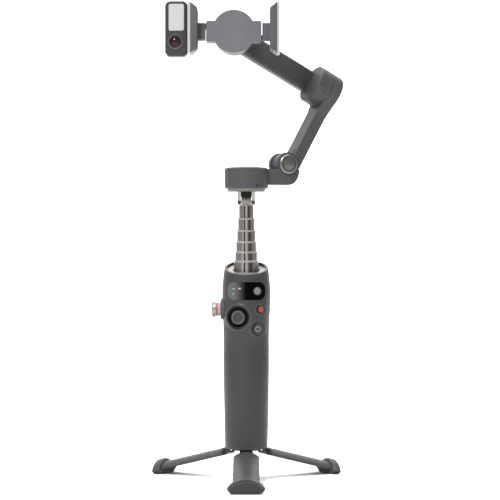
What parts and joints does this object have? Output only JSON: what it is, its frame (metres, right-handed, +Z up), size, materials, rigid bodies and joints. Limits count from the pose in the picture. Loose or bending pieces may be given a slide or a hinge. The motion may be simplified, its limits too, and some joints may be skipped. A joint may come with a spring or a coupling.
{
  "type": "camera gimbal",
  "caption": "Folding phone gimbal with a telescopic rod, a built-in folding tripod, three motor joints, a sprung rack-and-pinion clamp and a clip-on fill light.",
  "frame": {"origin": "centre of the mouth of the 1/4 inch threaded hole in the underside of the handle, on the handle's axis", "axes": "+Z up along the handle and the rod; -Y is the control side, towards the user; +X to the user's right as seen from the front of the handle"},
  "size_m": [0.1564, 0.1364, 0.3772],
  "materials": {
    "shell_plastic": "fine matte",
    "leg_plastic": "fine matte",
    "rubber": "matte",
    "pale_plastic": "satin",
    "rod_metal": "polished",
    "steel": "brushed",
    "hinge_metal": "satin",
    "gloss_black": "gloss",
    "button_plastic": "satin",
    "record_red": "satin",
    "knurl_metal": "knurled",
    "cell_wrap": "wrap",
    "board_green": "lacquer",
    "motor_core": "wound copper and steel",
    "disc_grey": "satin",
    "diffuser": "frosted",
    "lens_glass": "coated"
  },
  "bodies": {
    "root": {"handle_front_cover": "shell_plastic", "handle_rear_cover": "shell_plastic", "rod_sleeve": "pale_plastic", "end_cap": "steel", "core_tube": "pale_plastic", "battery_cell": "cell_wrap", "tripod_hub": "shell_plastic", "leg_pins": "steel", "control_board": "board_green", "display_window": "gloss_black", "stick_well": "gloss_black", "dial_boss": "shell_plastic", "charging_socket": "steel"},
    "leg_front_body": {"leg_front": "leg_plastic", "foot_pad_front": "rubber"},
    "leg_left_body": {"leg_left": "leg_plastic", "foot_pad_left": "rubber"},
    "leg_right_body": {"leg_right": "leg_plastic", "foot_pad_right": "rubber"},
    "side_dial": {"dial_ring": "record_red", "dial_grip": "knurl_metal"},
    "stick_ring_body": {"stick_ring": "gloss_black"},
    "stick_body": {"stick_cap": "button_plastic"},
    "record_body": {"record_button": "button_plastic"},
    "switch_body": {"switch_button": "button_plastic"},
    "mode_body": {"mode_button": "button_plastic"},
    "trigger_body": {"trigger": "button_plastic"},
    "rod_a": {"rod_section_a": "rod_metal"},
    "rod_b": {"rod_section_b": "rod_metal"},
    "rod_c": {"rod_section_c": "rod_metal"},
    "rod_d": {"rod_section_d": "rod_metal"},
    "rod_e": {"rod_section_e": "rod_metal"},
    "rod_f": {"rod_section_f": "rod_metal"},
    "neck": {"pan_base": "pale_plastic", "knuckle_pin": "steel", "pan_motor": "motor_core"},
    "pan": {"pan_housing": "shell_plastic", "pan_arm": "shell_plastic", "fold_pin": "hinge_metal"},
    "lower_arm": {"fold_arm": "shell_plastic", "tilt_motor": "motor_core"},
    "elbow": {"upper_arm": "shell_plastic", "roll_motor": "motor_core"},
    "roll": {"roll_plate": "shell_plastic"},
    "clamp": {"clamp_body": "shell_plastic", "clamp_disc": "disc_grey"},
    "pinion": {"clamp_pinion": "steel"},
    "left_jaw": {"jaw_left": "shell_plastic", "jaw_pad_left": "rubber", "jaw_plate_left": "pale_plastic"},
    "right_jaw": {"jaw_right": "shell_plastic", "jaw_pad_right": "rubber", "jaw_plate_right": "pale_plastic"},
    "fill_light": {"light_case": "shell_plastic", "light_panel": "diffuser", "lens_ring": "gloss_black", "lens_glass": "lens_glass"}
  },
  "joints": [
    {"name": "leg_front_fold", "type": "hinge", "parent": "root", "child": "leg_front_body", "pos_m": [0, -0.011, -0.0002], "axis": [1, 0, 0], "range_deg": [0, 75.2]},
    {"name": "leg_left_fold", "type": "hinge", "parent": "root", "child": "leg_left_body", "pos_m": [-0.00953, 0.0055, -0.0002], "axis": [-0.5, -0.866, 0], "range_deg": [0, 75.2]},
    {"name": "leg_right_fold", "type": "hinge", "parent": "root", "child": "leg_right_body", "pos_m": [0.00953, 0.0055, -0.0002], "axis": [-0.5, 0.866, 0], "range_deg": [0, 75.2]},
    {"name": "dial_turn", "type": "hinge", "parent": "root", "child": "side_dial", "pos_m": [-0.0184, -0.001, 0.1122], "axis": [-1, 0, 0], "continuous": true},
    {"name": "stick_up_down", "type": "hinge", "parent": "root", "child": "stick_ring_body", "pos_m": [-0.0064, -0.01631, 0.1063], "axis": [1, 0, 0], "range_deg": [-12, 12], "stiffness_Nm_per_rad": 0.02},
    {"name": "stick_left_right", "type": "hinge", "parent": "stick_ring_body", "child": "stick_body", "pos_m": [-0.0064, -0.01631, 0.1063], "axis": [0, 0, 1], "range_deg": [-12, 12], "stiffness_Nm_per_rad": 0.02},
    {"name": "record_press", "type": "slide", "parent": "root", "child": "record_body", "axis": [0, 1, 0], "range_m": [0, 0.0006], "stiffness_N_per_m": 400, "springref_m": -0.002},
    {"name": "switch_press", "type": "slide", "parent": "root", "child": "switch_body", "axis": [0, 1, 0], "range_m": [0, 0.0006], "stiffness_N_per_m": 400, "springref_m": -0.002},
    {"name": "mode_press", "type": "slide", "parent": "root", "child": "mode_body", "axis": [0, 1, 0], "range_m": [0, 0.0006], "stiffness_N_per_m": 400, "springref_m": -0.002},
    {"name": "trigger_pull", "type": "slide", "parent": "root", "child": "trigger_body", "axis": [0, -1, 0], "range_m": [0, 0.0025], "stiffness_N_per_m": 200, "springref_m": -0.002},
    {"name": "rod_a_slide", "type": "slide", "parent": "root", "child": "rod_a", "axis": [0, 0, 1], "range_m": [-0.0217, 0.02]},
    {"name": "rod_b_slide", "type": "slide", "parent": "rod_a", "child": "rod_b", "axis": [0, 0, 1], "range_m": [-0.0058, 0.026]},
    {"name": "rod_c_slide", "type": "slide", "parent": "rod_b", "child": "rod_c", "axis": [0, 0, 1], "range_m": [-0.0066, 0.026]},
    {"name": "rod_d_slide", "type": "slide", "parent": "rod_c", "child": "rod_d", "axis": [0, 0, 1], "range_m": [-0.0074, 0.026]},
    {"name": "rod_e_slide", "type": "slide", "parent": "rod_d", "child": "rod_e", "axis": [0, 0, 1], "range_m": [-0.0082, 0.026]},
    {"name": "rod_f_slide", "type": "slide", "parent": "rod_e", "child": "rod_f", "axis": [0, 0, 1], "range_m": [-0.01, 0.026]},
    {"name": "knuckle_lean", "type": "hinge", "parent": "rod_f", "child": "neck", "pos_m": [0, 0, 0.198], "axis": [-1, 0, 0], "range_deg": [-16, 75]},
    {"name": "pan_turn", "type": "hinge", "parent": "neck", "child": "pan", "pos_m": [0, 0, 0.2167], "axis": [0, 0, 1], "range_deg": [-162, 174]},
    {"name": "arm_fold", "type": "hinge", "parent": "pan", "child": "lower_arm", "pos_m": [0.03006, 0.01338, 0.2285], "axis": [0.4067, -0.9135, 0], "range_deg": [0, 102]},
    {"name": "tilt_turn", "type": "hinge", "parent": "lower_arm", "child": "elbow", "pos_m": [0.06176, 0.0275, 0.2902], "axis": [-0.814, -0.3624, 0.454], "range_deg": [-101, 78]},
    {"name": "roll_turn", "type": "hinge", "parent": "elbow", "child": "roll", "pos_m": [-0.0097, -0.012, 0.33], "axis": [0, -1, 0], "range_deg": [-120, 120]},
    {"name": "clamp_release", "type": "slide", "parent": "roll", "child": "clamp", "axis": [0, -1, 0], "range_m": [0, 0.03]},
    {"name": "jaw_left_open", "type": "slide", "parent": "clamp", "child": "left_jaw", "axis": [-1, 0, 0], "range_m": [0, 0.0139], "stiffness_N_per_m": 150, "springref_m": -0.02},
    {"name": "jaw_right_open", "type": "slide", "parent": "clamp", "child": "right_jaw", "axis": [1, 0, 0], "range_m": [0, 0.0139]},
    {"name": "pinion_turn", "type": "hinge", "parent": "clamp", "child": "pinion", "pos_m": [-0.0097, -0.025, 0.33], "axis": [0, -1, 0], "range_deg": [0, 360]},
    {"name": "light_release", "type": "slide", "parent": "left_jaw", "child": "fill_light", "axis": [-1, 0, 0], "range_m": [0, 0.03]}
  ],
  "couplings": [
    {"joint": "jaw_right_open", "follows": "jaw_left_open", "ratio": 1},
    {"joint": "pinion_turn", "follows": "jaw_left_open", "rad_per_m": 440}
  ]
}
